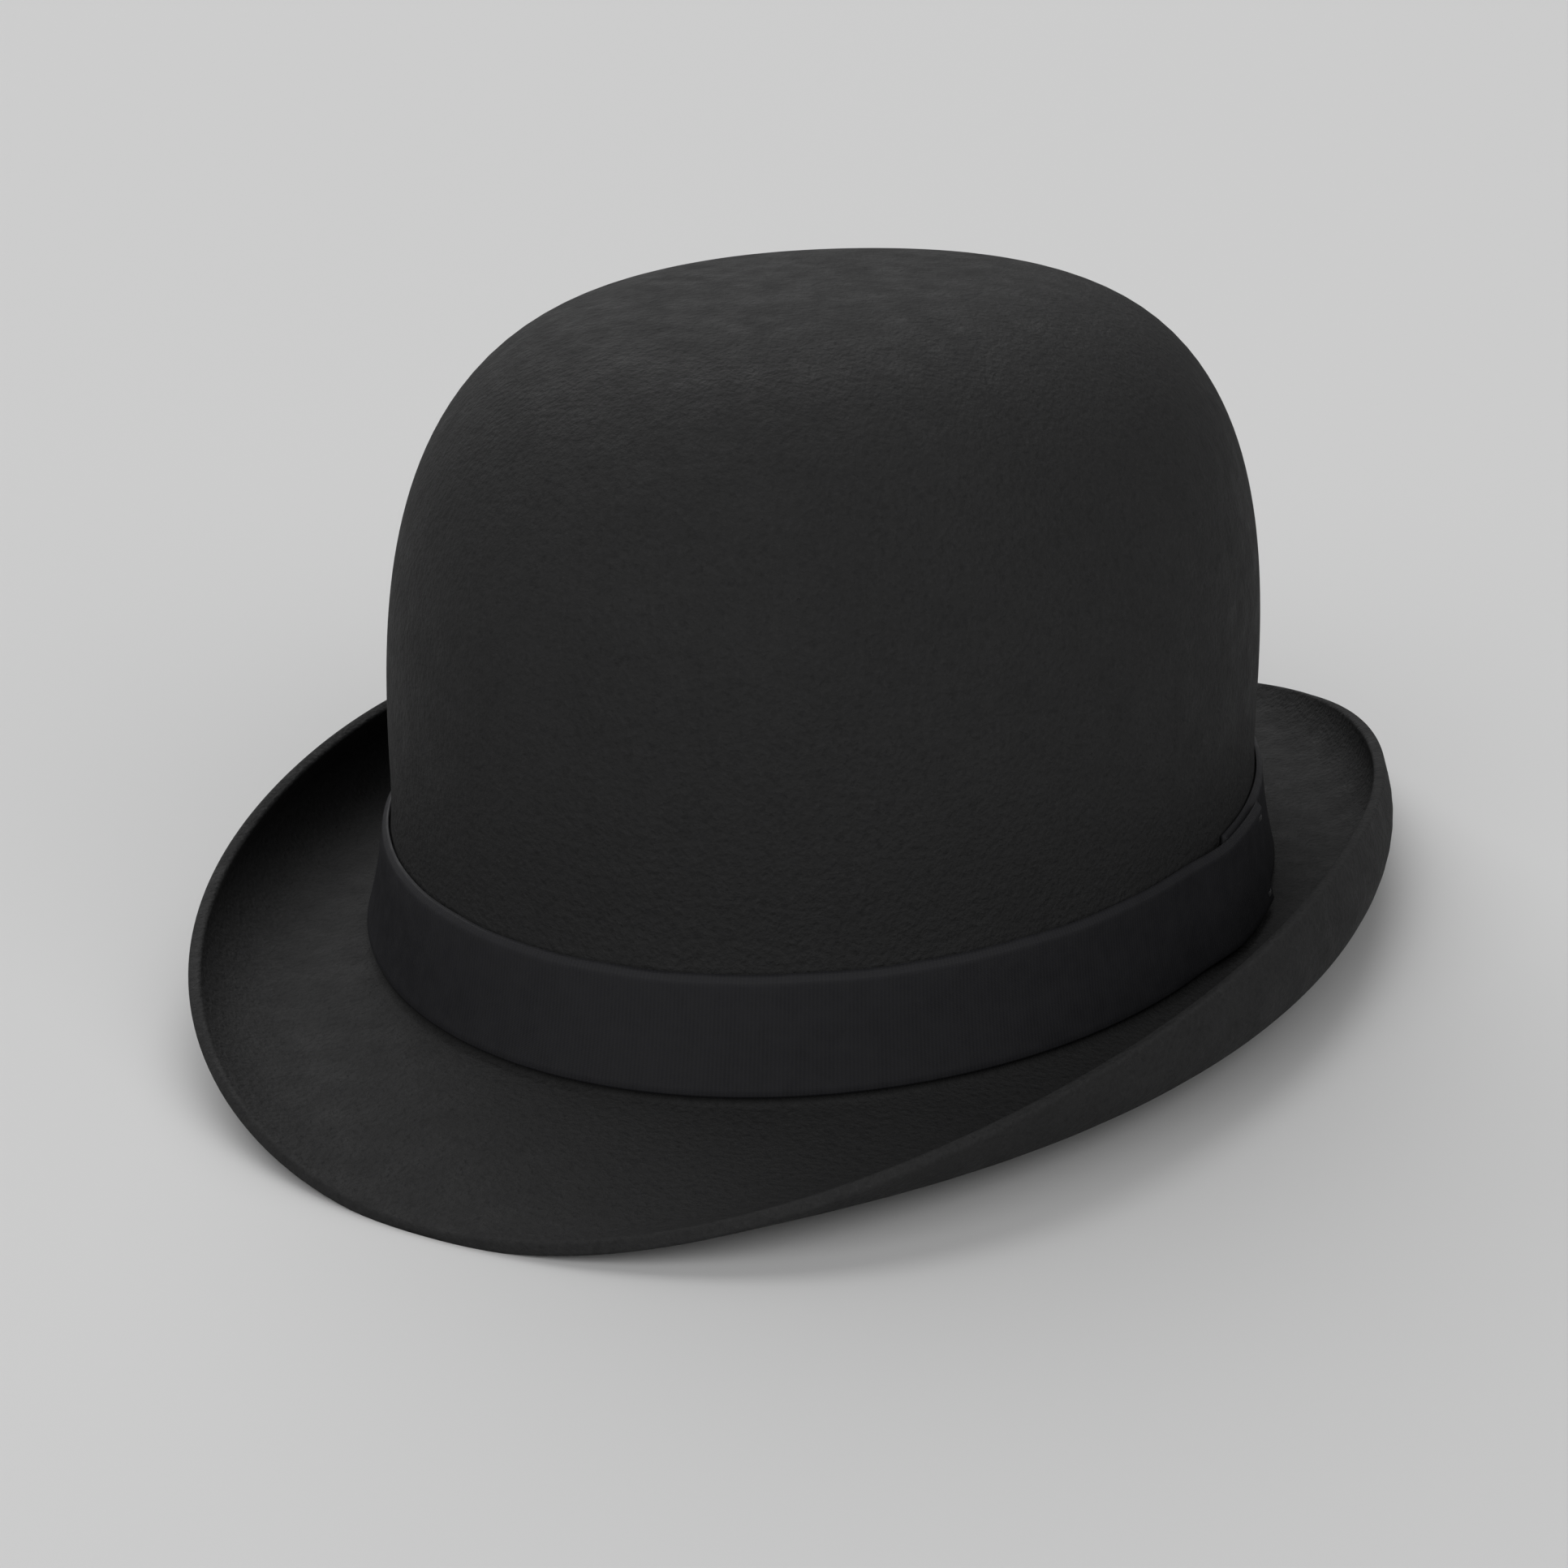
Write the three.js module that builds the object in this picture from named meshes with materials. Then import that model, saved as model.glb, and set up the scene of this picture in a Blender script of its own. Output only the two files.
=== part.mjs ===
// Bowler hat: stiff felt with a curled brim, a ribbon band, a leather sweatband and a satin lining.
// Millimetres, +Z up. The front of the hat faces -Y and the wearer's left is +X. The hat lies on its brim,
// on z = 0.
import * as THREE from "three";

// ---- driving dimensions ----
const STEPS = 48; // facets once round the hat
const FELT = 2.6; // felt thickness
const FOOT = { a: 89.0, b: 111.6 }; // half width and half length of the crown where it meets the brim
const WAIST = { a: 84.4, b: 106.3 }; // the same at the height where the wall is narrowest, above the ribbon
const WAIST_RISE = 33.5; // height of the waist above the foot of the crown at the front
const CROWN_RISE = 123.5; // height of the crown's top above its foot at the front
const DOME_POWER = 3.85; // squareness of the dome seen from the side, near its wall: 2 is an ellipse
const RISE_POWER = 2.65; // the same near its top
const SADDLE = 0.4; // rise of the crown's foot from the front to the sides
const FILLET = 2.0; // radius in the corner between crown and brim
const BRIM_FRONT = 43.6; // brim width measured along the felt at the front and back
const BRIM_SIDE = 35.4; // the same at the sides, where its outer part is rolled up
const BRIM_QUARTER = 2.9; // how much narrower the brim is halfway between the front and the sides
const DROOP = 5.3; // degrees the brim falls where it leaves the crown at the front
const LIFT = -1.4; // degrees its edge rises there: it still falls a little
const CURL = 111.0; // degrees through which the brim is rolled at the sides
const CURL_SPAN = 0.964; // how far round the roll takes to grow: the sine of the angle from the front
const CURL_FROM = 6.8; // distance from the crown where the roll begins
const CURL_TO = 27.7; // distance from the crown where the roll ends at the sides
const CURL_POWER = { front: 2.6, side: 1.25 }; // 1 is an even roll, and more keeps it near the edge
const PRESSED = 0.88; // depth of the flat that the brim rests on, front and back

const CLEAR = 0.3; // gap left between neighbouring pieces
// the ribbon's top is bevelled by slope down to a lip; lapEnd, lapUnder and ease are degrees round the hat
const RIBBON = {
  width: 20.9, thick: 1.4, slope: 1.3, lip: 0.3, above: 1.9, ease: 12, lapEnd: 97.5, lapUnder: 15,
};
const TACK = { thick: 0.3, half: 0.3, edge: 2.5, from: 2.2, to: 0.8 }; // from, to: degrees from the lap's end
const TAPE = { thick: 0.5, from: 2.0, to: 9.0 };
const LEATHER = 0.8; // sweatband thickness
const SWEAT = { below: 1.5, flap: 6.5, straight: 8.0, lean: 16.0, height: 52.0 };
const REED_R = 0.8;
const REED_CLEAR = 0.25;
const SATIN = 0.5;
const LINING_FROM = 22.0; // height of the lining's lower edge above the sweatband's fold
const GIMP_R = 1.1;
const THREAD_R = 0.25;
const STITCH_RISE = 4.2; // height of the stitching above the sweatband's fold
const SEAM = { crosses: 9, reach: 1.5, lift: 0.25, start: 2.0, stop: 3.0 }; // the laced back seam
const BOW = { reach: 9.0, half: 3.6, thick: 1.5, rise: 10.6 }; // reach in degrees to each side of the knot
const KNOT = { reach: 1.1, half: 2.4, thick: 1.2 };

const rad = (deg) => (deg * Math.PI) / 180;
const smooth = (x) => {
  const u = Math.min(1, Math.max(0, x));
  return u * u * (3 - 2 * u);
};

// ---- the shape of the felt ----
// heading of the brim's upper face above the horizontal, in radians, at distance s from the crown
function brimHeading(t, s) {
  const side = Math.sin(t) ** 2;
  const start = -DROOP * (1 - side);
  const end = LIFT * (1 - side) + CURL * smooth(Math.abs(Math.sin(t)) / CURL_SPAN);
  const stop = brimWidth(t) + (CURL_TO - brimWidth(t)) * side ** 2.5;
  const w = Math.min(1, Math.max(0, (s - CURL_FROM) / (stop - CURL_FROM)));
  const power = CURL_POWER.front + (CURL_POWER.side - CURL_POWER.front) * side;
  return rad(start + (end - start) * w ** power);
}

function brimWidth(t) {
  return BRIM_FRONT + (BRIM_SIDE - BRIM_FRONT) * Math.sin(t) ** 2 - BRIM_QUARTER * Math.sin(2 * t) ** 2;
}

// the corner and the brim as rows of [outward distance, height above the foot, heading]
const CORNER_ROWS = 2;
const BRIM_ROWS = 10;
function brimRows(t) {
  const first = brimHeading(t, 0);
  const rows = [];
  for (let i = 0; i <= CORNER_ROWS; i++) {
    const h = -Math.PI / 2 + ((first + Math.PI / 2) * i) / CORNER_ROWS;
    rows.push([FILLET * (1 + Math.sin(h)), FILLET * (1 - Math.cos(h)), h]);
  }
  let [d, z] = rows[CORNER_ROWS];
  const fine = 8;
  const ds = brimWidth(t) / (BRIM_ROWS * fine);
  for (let i = 1; i <= BRIM_ROWS * fine; i++) {
    const mid = brimHeading(t, (i - 0.5) * ds);
    d += Math.cos(mid) * ds;
    z += Math.sin(mid) * ds;
    if (i % fine === 0) rows.push([d, z, brimHeading(t, i * ds)]);
  }
  return rows;
}

// height of the crown's foot at the front
const FRONT_FOOT = FELT - PRESSED - Math.min(...brimRows(0).map((r) => r[1]));
const WAIST_Z = FRONT_FOOT + WAIST_RISE;
const DOME = CROWN_RISE - WAIST_RISE;
const footZ = (t) => FRONT_FOOT + SADDLE * Math.sin(t) ** 2;
const around = (t, a, b, z) => [a * Math.sin(t), -b * Math.cos(t), z];

// a point level with the crown's wall at height z, moved outward by off: the wall spreads towards its foot
function wall(t, off, z) {
  if (z < WAIST_Z) {
    const f = Math.min(1, (WAIST_Z - z) / (WAIST_Z - footZ(t) - FILLET)) ** 2;
    const a = WAIST.a + (FOOT.a - WAIST.a) * f;
    const b = WAIST.b + (FOOT.b - WAIST.b) * f;
    return around(t, a + off, b + off, z);
  }
  const k = (1 - ((z - WAIST_Z) / (DOME + off)) ** RISE_POWER) ** (1 / DOME_POWER);
  return around(t, (WAIST.a + off) * k, (WAIST.b + off) * k, z);
}

// a point on the dome at parameter phi: 0 at the waist, 90 degrees at the top
function dome(t, off, phi) {
  const k = Math.max(0, Math.cos(phi)) ** (2 / DOME_POWER);
  const rise = Math.sin(phi) ** (2 / RISE_POWER);
  return around(t, (WAIST.a + off) * k, (WAIST.b + off) * k, WAIST_Z + (DOME + off) * rise);
}
const DOME_ROWS = [0, 6, 14, 23, 33, 43, 53, 54.5, 56, 65, 74, 82].map(rad);
const SEAM_ROW = 7; // the lining's side ends one row below this and its tip begins one row above it

// ---- building closed meshes ----
function solid(points, faces) {
  const v = points.flat();
  let volume = 0;
  const p = (i) => new THREE.Vector3(v[3 * i], v[3 * i + 1], v[3 * i + 2]);
  for (const [a, b, c] of faces) volume += p(a).dot(p(b).cross(p(c)));
  const index = (volume > 0 ? faces : faces.map(([a, b, c]) => [a, c, b])).flat();
  const g = new THREE.BufferGeometry();
  g.setAttribute("position", new THREE.Float32BufferAttribute(v, 3));
  g.setIndex(index);
  g.computeVertexNormals();
  return g;
}

const angles = (from, to, steps) =>
  Array.from({ length: steps + 1 }, (_, i) => rad(from + ((to - from) * i) / steps));
const wholeTurn = angles(0, 360, STEPS).slice(0, STEPS);

// a skin whose sections all start at one top point and end at another, such as a dome with an inside
function shell(section, top, bottom) {
  const points = wholeTurn.flatMap((t) => section(t));
  const n = points.length / STEPS;
  const faces = [];
  const topAt = points.push(top) - 1;
  const bottomAt = points.push(bottom) - 1;
  for (let i = 0; i < STEPS; i++) {
    const a = i * n;
    const b = ((i + 1) % STEPS) * n;
    faces.push([topAt, a, b], [bottomAt, b + n - 1, a + n - 1]);
    for (let j = 0; j < n - 1; j++) faces.push([a + j, a + j + 1, b + j], [b + j, a + j + 1, b + j + 1]);
  }
  return solid(points, faces);
}

// a closed section carried round the hat, either joined to itself or with two capped ends
function carried(section, turn, flat) {
  const rings = turn.map((t) => section(t));
  const n = rings[0].length;
  const whole = !flat;
  const faces = [];
  for (let i = 0; i < rings.length - (whole ? 0 : 1); i++) {
    const a = i * n;
    const b = ((i + 1) % rings.length) * n;
    for (let j = 0; j < n; j++) {
      const k = (j + 1) % n;
      faces.push([a + j, a + k, b + j], [b + j, a + k, b + k]);
    }
  }
  if (!whole) {
    const outline = flat.map(([x, y]) => new THREE.Vector2(x, y));
    const forward = THREE.ShapeUtils.area(outline) > 0;
    const last = (rings.length - 1) * n;
    for (const [a, b, c] of THREE.ShapeUtils.triangulateShape(outline, [])) {
      const [p, q] = forward ? [b, c] : [c, b];
      faces.push([a, q, p], [last + a, last + p, last + q]);
    }
  }
  return solid(rings.flat(), faces);
}

const hat = new THREE.Group();
function add(name, geometry, color, roughness = 0.9, metalness = 0) {
  const mesh = new THREE.Mesh(geometry, new THREE.MeshStandardMaterial({ color, roughness, metalness }));
  mesh.name = name;
  hat.add(mesh);
}

// ---- felt body: crown and brim in one ----
function feltSection(t) {
  const out = DOME_ROWS.toReversed().map((phi) => dome(t, 0, phi));
  const inner = DOME_ROWS.map((phi) => dome(t, -FELT, phi));
  const foot = footZ(t);
  const top = foot + FILLET;
  const flare = [0.75, 0.45].map((u) => top + (WAIST_Z - top) * u);
  const rows = brimRows(t);
  const at = ([d, z]) => around(t, FOOT.a + d, FOOT.b + d, foot + z);
  const under = rows.map(([d, z, h]) => [d + FELT * Math.sin(h), Math.max(-foot, z - FELT * Math.cos(h))]);
  out.push(...flare.map((z) => wall(t, 0, z)), ...rows.map(at), ...under.toReversed().map(at));
  out.push(...flare.toReversed().map((z) => wall(t, -FELT, z)), ...inner);
  return out;
}
const crownTop = WAIST_Z + DOME;
add("felt_body", shell(feltSection, [0, 0, crownTop], [0, 0, crownTop - FELT]), 0x232325, 0.95);

// ---- ribbon band: one length of grosgrain whose end laps over its start ----
const lapShift = CLEAR + RIBBON.thick;
function ribbonOffset(deg) {
  // deg runs down from the outer end; the first stretch rides over the ribbon's own start
  const over = RIBBON.lapEnd - RIBBON.lapUnder;
  return CLEAR + lapShift * smooth((deg - over + RIBBON.ease) / RIBBON.ease);
}
const ribbonFlat = (off) => [
  [off, 0], [off + RIBBON.thick, 0], [off + RIBBON.thick, RIBBON.width - RIBBON.slope],
  [off + RIBBON.lip, RIBBON.width], [off, RIBBON.width],
];
const ribbonSteps = Math.round(((360 + RIBBON.lapUnder) * STEPS) / 360);
const ribbonTurn = angles(RIBBON.lapEnd, RIBBON.lapEnd - 360 - RIBBON.lapUnder, ribbonSteps);
const ribbonSection = (t) => {
  const z0 = footZ(t) + RIBBON.above;
  return ribbonFlat(ribbonOffset((t * 180) / Math.PI)).map(([off, z]) => wall(t, off, z0 + z));
};
add("ribbon_band", carried(ribbonSection, ribbonTurn, ribbonFlat(0)), 0x17171b, 0.7);

// ---- tacks: two short stitches that hold the ribbon's end ----
function tack(z) {
  const end = RIBBON.lapEnd;
  const off = CLEAR + lapShift + RIBBON.thick + CLEAR;
  const [low, high] = [z - TACK.half, z + TACK.half];
  const flat = [[off, low], [off + TACK.thick, low], [off + TACK.thick, high], [off, high]];
  const section = (t) => flat.map(([d, h]) => wall(t, d, footZ(t) + RIBBON.above + h));
  return carried(section, angles(end - TACK.from, end - TACK.to, 2), flat);
}
add("ribbon_tack_upper", tack(RIBBON.width - TACK.edge), 0x101012, 0.8);
add("ribbon_tack_lower", tack(TACK.edge), 0x101012, 0.8);

// ---- sweatband: a leather strip folded round a reed, open by a hair at the back seam ----
const foldZ = (t) => footZ(t) - SWEAT.below;
const flapOut = -FELT - CLEAR - TAPE.thick - CLEAR; // the felt side of the fold
const foldR = LEATHER + REED_CLEAR + REED_R;
const reedOff = flapOut - foldR;
const leanOff = -FELT - CLEAR - SATIN - CLEAR; // where the leaf lies above the lean
function sweatFlat() {
  const outer = [];
  const inner = [];
  for (let i = 0; i <= 4; i++) {
    const h = (Math.PI * i) / 4;
    outer.push([reedOff + foldR * Math.cos(h), foldR - foldR * Math.sin(h)]);
    inner.push([reedOff + (foldR - LEATHER) * Math.cos(h), foldR - (foldR - LEATHER) * Math.sin(h)]);
  }
  const corner = FILLET + SWEAT.below; // where the felt's wall starts above its corner
  const leaf = (off) => [[off, corner], [off, SWEAT.straight], [off + foldR * 2 - LEATHER - 0.1, SWEAT.lean]];
  const face = leaf(reedOff - foldR);
  const back = leaf(reedOff - foldR + LEATHER);
  const rise = [LINING_FROM, WAIST_RISE + SWEAT.below, SWEAT.height];
  return [
    [flapOut, SWEAT.flap], ...outer, ...face,
    ...rise.map((z) => [leanOff - LEATHER, z]),
    ...rise.toReversed().map((z) => [leanOff, z]),
    ...back.toReversed(), ...inner.toReversed(), [flapOut - LEATHER, SWEAT.flap],
  ];
}
const seamHalf = 0.3; // half the width of the back seam's slit, in degrees
const sweatTurn = [rad(-180 + seamHalf), ...wholeTurn.map((t) => t - Math.PI).slice(1), rad(180 - seamHalf)];
const sweatSection = (t) => sweatFlat().map(([off, z]) => wall(t, off, foldZ(t) + z));
add("sweatband", carried(sweatSection, sweatTurn, sweatFlat()), 0x6b4630, 0.6);

// a cord of n sides laid round the hat
function cord(off, rise, r, n = 6) {
  const flat = Array.from({ length: n }, (_, i) => {
    const h = (2 * Math.PI * i) / n;
    return [off + r * Math.cos(h), rise + r * Math.sin(h)];
  });
  return carried((t) => flat.map(([d, z]) => wall(t, d, foldZ(t) + z)), wholeTurn, null);
}
add("sweatband_reed", cord(reedOff, foldR, REED_R), 0xc9c2b0, 0.7);
add("sweatband_thread", cord(reedOff - foldR - CLEAR - THREAD_R, STITCH_RISE, THREAD_R, 5), 0x9a8a6a, 0.8);

// ---- woven tape between the sweatband and the felt ----
const tapeOut = -FELT - CLEAR;
const tapeIn = tapeOut - TAPE.thick;
const tapeFlat = [[tapeOut, TAPE.from], [tapeOut, TAPE.to], [tapeIn, TAPE.to], [tapeIn, TAPE.from]];
const tapeSection = (t) => tapeFlat.map(([d, z]) => wall(t, d, foldZ(t) + z));
add("sweatband_tape", carried(tapeSection, wholeTurn, null), 0x1a1a1c);

// ---- satin lining: a side band, an oval tip and the corded seam between them ----
const liningOut = -FELT - CLEAR;
const liningIn = liningOut - SATIN;
const liningSide = (t) => {
  const z = foldZ(t) + LINING_FROM;
  const rows = DOME_ROWS.slice(1, SEAM_ROW);
  return [
    wall(t, liningOut, z), wall(t, liningOut, WAIST_Z), ...rows.map((phi) => dome(t, liningOut, phi)),
    ...rows.toReversed().map((phi) => dome(t, liningIn, phi)),
    wall(t, liningIn, WAIST_Z), wall(t, liningIn, z),
  ];
};
add("lining_side", carried(liningSide, wholeTurn, null), 0xb9b4aa, 0.4);
const tipRows = DOME_ROWS.slice(SEAM_ROW + 1);
const liningTip = (t) => [
  ...tipRows.toReversed().map((phi) => dome(t, liningOut, phi)),
  ...tipRows.map((phi) => dome(t, liningIn, phi)),
];
add("lining_tip", shell(liningTip, [0, 0, crownTop + liningOut], [0, 0, crownTop + liningIn]), 0xb9b4aa, 0.4);
const gimpSection = (t) => {
  const phi = DOME_ROWS[SEAM_ROW];
  const [x, y, z] = dome(t, liningIn - CLEAR - GIMP_R * 1.15, phi);
  const r = Math.hypot(x, y);
  return Array.from({ length: 6 }, (_, i) => {
    const h = (Math.PI * i) / 3;
    const k = 1 + (GIMP_R * Math.cos(h)) / r;
    return [x * k, y * k, z + GIMP_R * Math.sin(h)];
  });
};
add("lining_gimp", carried(gimpSection, wholeTurn, null), 0x8f8a80, 0.5);

// ---- cross stitches of the back seam ----
class SeamPath extends THREE.Curve {
  getPoint(u, target = new THREE.Vector3()) {
    const low = SWEAT.lean + SEAM.start;
    const z = foldZ(Math.PI) + low + (SWEAT.height - SEAM.stop - low) * u;
    const side = Math.asin(Math.sin(2 * Math.PI * SEAM.crosses * u)) / (Math.PI / 2);
    const [, y] = wall(Math.PI, leanOff - LEATHER - CLEAR - SEAM.lift - THREAD_R, z);
    return target.set(SEAM.reach * side, y, z);
  }
}
const threadShape = new THREE.Shape(
  Array.from({ length: 6 }, (_, i) => new THREE.Vector2(
    THREAD_R * Math.cos((Math.PI * i) / 3), THREAD_R * Math.sin((Math.PI * i) / 3))),
);
const seamPath = { steps: 6 * SEAM.crosses, extrudePath: new SeamPath() };
const seamThread = new THREE.ExtrudeGeometry(threadShape, seamPath);
add("back_seam_thread", seamThread, 0x9a8a6a, 0.8);

// ---- small bow at the foot of the back seam ----
const bowOff = reedOff - foldR - CLEAR; // the bow's back
const bowFlat = (u) => {
  // u runs from -1 to 1 across the bow: pinched in the middle, full in each loop, rounded at the ends
  const w = Math.abs(u);
  const half = BOW.half * (0.34 + 0.66 * Math.sin(Math.PI * Math.min(1, 0.12 + w * 0.78)));
  const thick = BOW.thick * (0.45 + 0.55 * Math.sin(Math.PI * Math.min(1, 0.1 + w * 0.8)));
  return Array.from({ length: 10 }, (_, i) => {
    const h = (2 * Math.PI * i) / 10;
    return [bowOff - thick / 2 + (thick / 2) * Math.cos(h), BOW.rise + half * Math.sin(h)];
  });
};
const bowTurn = angles(180 - BOW.reach, 180 + BOW.reach, 16);
const bowSection = (t) => bowFlat((t - Math.PI) / rad(BOW.reach)).map(([d, z]) => wall(t, d, foldZ(t) + z));
add("bow_loops", carried(bowSection, bowTurn, bowFlat(1)), 0x17171b, 0.7);
const knotOff = bowOff - BOW.thick - CLEAR - KNOT.thick / 2;
const knotFlat = Array.from({ length: 8 }, (_, i) => {
  const h = (2 * Math.PI * i) / 8;
  return [knotOff + (KNOT.thick / 2) * Math.cos(h), BOW.rise + KNOT.half * Math.sin(h)];
});
const knotTurn = angles(180 - KNOT.reach, 180 + KNOT.reach, 2);
const knotSection = (t) => knotFlat.map(([d, z]) => wall(t, d, foldZ(t) + z));
add("bow_knot", carried(knotSection, knotTurn, knotFlat), 0x17171b, 0.7);

export default hat;
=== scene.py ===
"""Looks of the bowler hat: felt, ribbon, sweatband, lining and stitching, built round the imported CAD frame.

The hat's front faces -Y and the wearer's left is +X. Angles round the hat run from the front towards the
wearer's left. The shape is worked out in millimetres, and points are turned into metres as they are made.
"""

import math

import bmesh
import bpy
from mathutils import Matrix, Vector, noise


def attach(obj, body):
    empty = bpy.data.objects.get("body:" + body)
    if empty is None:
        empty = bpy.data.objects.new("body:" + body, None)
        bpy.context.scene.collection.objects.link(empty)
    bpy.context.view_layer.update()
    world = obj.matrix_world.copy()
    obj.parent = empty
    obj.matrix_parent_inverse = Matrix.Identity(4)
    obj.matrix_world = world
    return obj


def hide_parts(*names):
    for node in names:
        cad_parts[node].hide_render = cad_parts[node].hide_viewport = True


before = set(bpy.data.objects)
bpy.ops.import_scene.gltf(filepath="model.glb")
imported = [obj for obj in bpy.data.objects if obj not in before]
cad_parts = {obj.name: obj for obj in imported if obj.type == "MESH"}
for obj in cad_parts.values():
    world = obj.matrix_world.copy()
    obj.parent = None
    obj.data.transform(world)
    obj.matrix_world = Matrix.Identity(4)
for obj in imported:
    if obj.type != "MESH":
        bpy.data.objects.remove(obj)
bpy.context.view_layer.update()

MM = 0.001
TAU = 2 * math.pi

# ---------------------------------------------------------------- the hat's dimensions, in mm
# Only the ribbon's lap differs from the CAD's, whose facets need a longer one.
FELT = 2.6  # thickness
FOOT = (89.0, 111.6)  # half width and half length of the crown where it meets the brim
WAIST = (84.4, 106.3)  # the same where the crown's wall is narrowest, above the ribbon
WAIST_RISE = 33.5  # height of the waist above the crown's foot at the front
CROWN_RISE = 123.5  # height of the crown's top above its foot at the front
DOME_POWER = 3.85  # squareness of the dome near its wall: 2 is an ellipse
RISE_POWER = 2.65  # the same near its top
SADDLE = 0.4  # rise of the crown's foot from the front to the sides
FILLET = 2.0  # radius in the corner between crown and brim
BRIM_FRONT = 43.6  # brim width along the felt at the front and back
BRIM_SIDE = 35.4  # the same at the sides
BRIM_QUARTER = 2.9  # how much narrower the brim is in between
DROOP = 5.3  # degrees the brim falls where it leaves the crown at the front
LIFT = -1.4  # degrees its edge rises there: it still falls a little
CURL = 111.0  # degrees through which the brim is rolled at the sides
CURL_SPAN = 0.964  # sine of the angle from the front at which the roll is whole
CURL_FROM = 6.8  # distance from the crown where the roll begins
CURL_TO = 27.7  # distance from the crown where it ends at the sides
CURL_POWER = (2.6, 1.25)  # at the front and the sides: 1 is an even roll, and more keeps it near the edge
PRESSED = 0.88  # depth of the flat that the brim rests on
CLEAR = 0.3  # gap left between neighbouring pieces
RIBBON_WIDTH, RIBBON_THICK = 20.9, 1.4
RIBBON_SLOPE = 1.3  # height of the bevel along the ribbon's top
RIBBON_ABOVE = 1.9  # height of the ribbon's lower edge above the crown's foot
LAP_END = 97.5  # degrees from the front to the ribbon's outer end
LAP_UNDER = 11.0  # degrees it overlaps its own start
LAP_EASE = 10.0  # degrees over which it steps up there
TAPE_THICK, TAPE_FROM, TAPE_TO = 0.5, 2.0, 9.0
LEATHER = 0.8
SWEAT_BELOW = 1.5  # how far the sweatband's fold hangs below the crown's foot
SWEAT_FLAP, SWEAT_STRAIGHT, SWEAT_LEAN, SWEAT_HEIGHT = 6.5, 8.0, 16.0, 52.0  # heights above the fold
REED_R, REED_CLEAR = 0.8, 0.25
SATIN = 0.5
LINING_FROM = 22.0  # height of the lining's lower edge above the fold
GIMP_R = 1.1
THREAD_R = 0.25
STITCH_RISE = 4.2  # height of the row of stitches above the fold
SEAM_PHI = math.radians(54.5)  # where the lining's tip meets its side: 0 is the waist, 90 degrees the top

BACK = math.pi
# offsets outward from the crown's wall, so that what is inside the hat has a minus sign
FLAP_OUT = -FELT - CLEAR - TAPE_THICK - CLEAR
FOLD_R = LEATHER + REED_CLEAR + REED_R
REED_OFF = FLAP_OUT - FOLD_R
LEAN_OFF = -FELT - CLEAR - SATIN - CLEAR
LINING_OUT = -FELT - CLEAR
LINING_IN = LINING_OUT - SATIN


# ---------------------------------------------------------------- the shape of the hat
def smooth(x):
    """0 up to 0, 1 from 1, and an even curve in between."""
    u = min(1.0, max(0.0, x))
    return u * u * (3 - 2 * u)


def brim_width(t):
    side = math.sin(t) ** 2
    return BRIM_FRONT + (BRIM_SIDE - BRIM_FRONT) * side - BRIM_QUARTER * math.sin(2 * t) ** 2


def brim_heading(t, s):
    """Angle of the brim's upper face above the horizontal, at distance s from the crown."""
    side = math.sin(t) ** 2
    start = -DROOP * (1 - side)
    end = LIFT * (1 - side) + CURL * smooth(abs(math.sin(t)) / CURL_SPAN)
    stop = brim_width(t) + (CURL_TO - brim_width(t)) * side**2.5
    w = min(1.0, max(0.0, (s - CURL_FROM) / (stop - CURL_FROM)))
    power = CURL_POWER[0] + (CURL_POWER[1] - CURL_POWER[0]) * side
    return math.radians(start + (end - start) * w**power)


def brim_rows(t, corner, rows, fine=3):
    """(outward distance, height above the foot, heading) down the corner and out along the upper face. Each
    row on the face is reached in a number of fine steps."""
    first = brim_heading(t, 0)
    made = []
    for i in range(corner + 1):
        h = -math.pi / 2 + (first + math.pi / 2) * i / corner
        made.append((FILLET * (1 + math.sin(h)), FILLET * (1 - math.cos(h)), h))
    d, z, _ = made[-1]
    ds = brim_width(t) / (rows * fine)
    for i in range(1, rows * fine + 1):
        mid = brim_heading(t, (i - 0.5) * ds)
        d += math.cos(mid) * ds
        z += math.sin(mid) * ds
        if i % fine == 0:
            made.append((d, z, brim_heading(t, i * ds)))
    return made


CAD_ROWS = (2, 10, 8)  # the rows that the CAD's own brim has, which set its height
FRONT_FOOT = FELT - PRESSED - min(row[1] for row in brim_rows(0.0, *CAD_ROWS))
WAIST_Z = FRONT_FOOT + WAIST_RISE
DOME = CROWN_RISE - WAIST_RISE


def foot_z(t):
    """Height of the crown's foot."""
    return FRONT_FOOT + SADDLE * math.sin(t) ** 2


def fold_z(t):
    """Height of the fold at the foot of the sweatband."""
    return foot_z(t) - SWEAT_BELOW


def around(t, a, b, z):
    """A point in metres on the oval with half axes a and b at height z, all in mm."""
    return Vector((a * math.sin(t), -b * math.cos(t), z)) * MM


def wall(t, off, z):
    """A point level with the crown's wall at height z, moved outward by off."""
    if z < WAIST_Z:
        f = min(1.0, (WAIST_Z - z) / (WAIST_Z - foot_z(t) - FILLET)) ** 2
        a, b = (WAIST[i] + (FOOT[i] - WAIST[i]) * f for i in (0, 1))
        return around(t, a + off, b + off, z)
    k = (1 - ((z - WAIST_Z) / (DOME + off)) ** RISE_POWER) ** (1 / DOME_POWER)
    return around(t, (WAIST[0] + off) * k, (WAIST[1] + off) * k, z)


def dome(t, off, k, rise):
    """A point on the dome, from its share of the waist's radius and of the dome's height."""
    return around(t, (WAIST[0] + off) * k, (WAIST[1] + off) * k, WAIST_Z + (DOME + off) * rise)


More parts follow.
